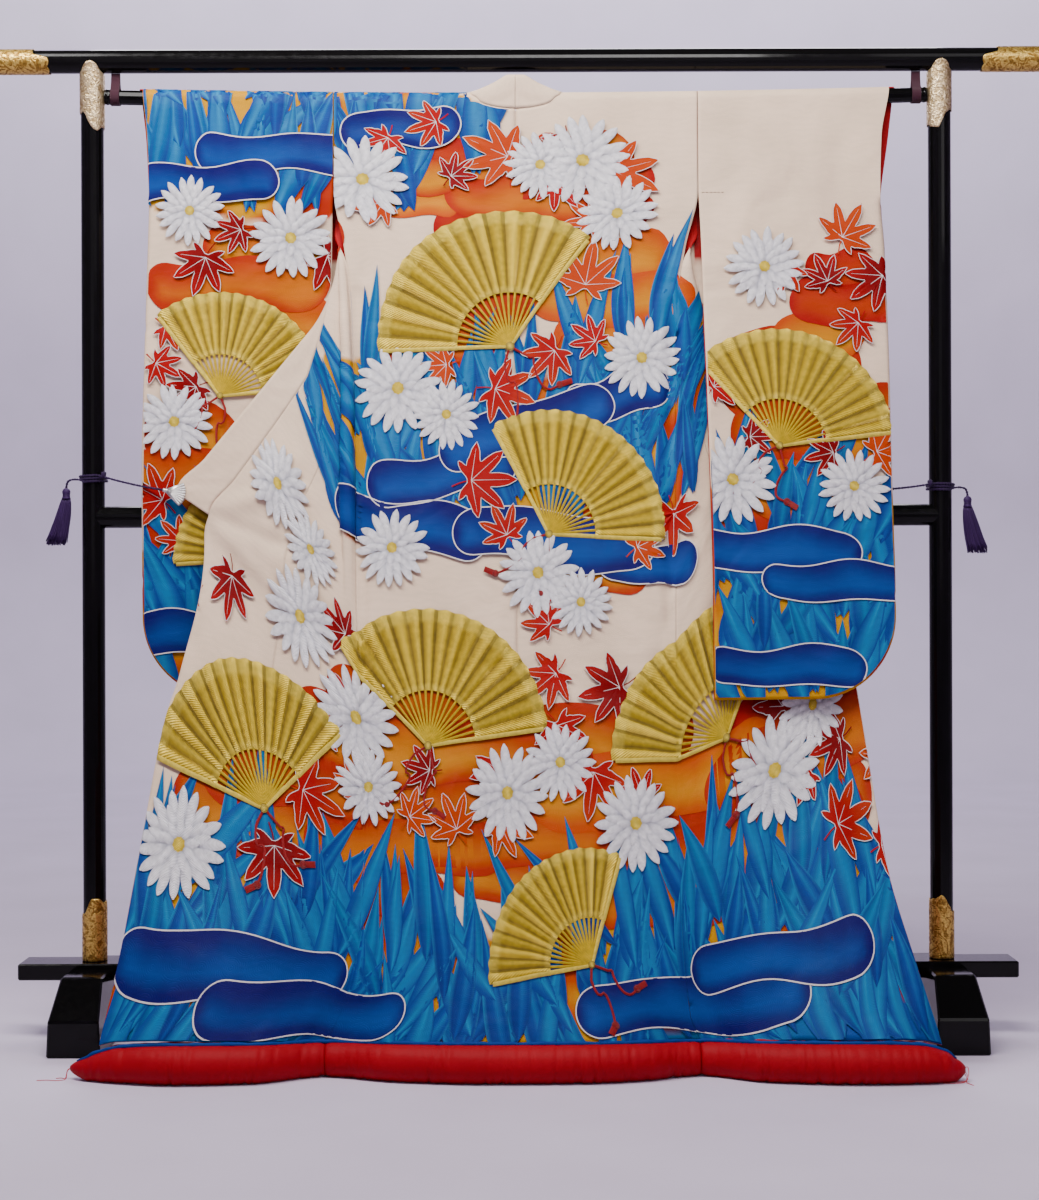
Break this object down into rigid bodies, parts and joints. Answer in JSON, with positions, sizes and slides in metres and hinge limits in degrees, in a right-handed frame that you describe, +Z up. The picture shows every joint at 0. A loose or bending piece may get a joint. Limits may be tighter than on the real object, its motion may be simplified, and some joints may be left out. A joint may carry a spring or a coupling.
{
  "type": "uchikake wedding kimono on a kimono stand",
  "caption": "Silk uchikake over-kimono with long sleeves and a padded red hem, hung by its sleeves on a black lacquered stand with gold fittings and drawn open by tasselled ties.",
  "frame": {"origin": "on the floor, at the middle of the object's box in X and Y", "axes": "+X along the stand, to the right of someone who looks at the garment's back; +Y from the garment's back towards the far side of the stand; +Z up"},
  "size_m": [1.9874, 0.644, 1.7616],
  "materials": {
    "back_left": "figured silk satin with a red silk lining",
    "front_left": "figured silk satin with a red silk lining",
    "overlap_left": "figured silk satin with a red silk lining",
    "collar_left": "figured silk satin with a red silk lining",
    "sleeve_left_back": "figured silk satin with a red silk lining",
    "sleeve_left_front": "figured silk satin with a red silk lining",
    "clip_left": "cast and polished pale metal",
    "tie_left": "twisted rayon cord",
    "tassel_left": "rayon strands",
    "rail_cap_left": "pale gold plate",
    "post_left": "gloss black lacquer",
    "post_top_fitting_left": "pale gold plate",
    "post_foot_fitting_left": "pale gold plate",
    "bar_strap_left": "woven ribbon",
    "foot_block_left": "gloss black lacquer",
    "back_right": "figured silk satin with a red silk lining",
    "front_right": "figured silk satin with a red silk lining",
    "overlap_right": "figured silk satin with a red silk lining",
    "collar_right": "figured silk satin with a red silk lining",
    "sleeve_right_back": "figured silk satin with a red silk lining",
    "sleeve_right_front": "figured silk satin with a red silk lining",
    "clip_right": "cast and polished pale metal",
    "tie_right": "twisted rayon cord",
    "tassel_right": "rayon strands",
    "rail_cap_right": "pale gold plate",
    "post_right": "gloss black lacquer",
    "post_top_fitting_right": "pale gold plate",
    "post_foot_fitting_right": "pale gold plate",
    "bar_strap_right": "woven ribbon",
    "foot_block_right": "gloss black lacquer",
    "hem_roll_left": "silk over cotton wadding",
    "hem_roll_back": "silk over cotton wadding",
    "hem_roll_right": "silk over cotton wadding",
    "top_rail": "gloss black lacquer",
    "hanging_bar": "gloss black lacquer",
    "mid_rail": "gloss black lacquer",
    "foot_board": "gloss black lacquer"
  },
  "bodies": {
    "root": {"back_left": "back_left", "front_left": "front_left", "overlap_left": "overlap_left", "collar_left": "collar_left", "sleeve_left_back": "sleeve_left_back", "sleeve_left_front": "sleeve_left_front", "clip_left": "clip_left", "tie_left": "tie_left", "tassel_left": "tassel_left", "rail_cap_left": "rail_cap_left", "post_left": "post_left", "post_top_fitting_left": "post_top_fitting_left", "post_foot_fitting_left": "post_foot_fitting_left", "bar_strap_left": "bar_strap_left", "foot_block_left": "foot_block_left", "back_right": "back_right", "front_right": "front_right", "overlap_right": "overlap_right", "collar_right": "collar_right", "sleeve_right_back": "sleeve_right_back", "sleeve_right_front": "sleeve_right_front", "clip_right": "clip_right", "tie_right": "tie_right", "tassel_right": "tassel_right", "rail_cap_right": "rail_cap_right", "post_right": "post_right", "post_top_fitting_right": "post_top_fitting_right", "post_foot_fitting_right": "post_foot_fitting_right", "bar_strap_right": "bar_strap_right", "foot_block_right": "foot_block_right", "hem_roll_left": "hem_roll_left", "hem_roll_back": "hem_roll_back", "hem_roll_right": "hem_roll_right", "top_rail": "top_rail", "hanging_bar": "hanging_bar", "mid_rail": "mid_rail", "foot_board": "foot_board"}
  },
  "joints": []
}
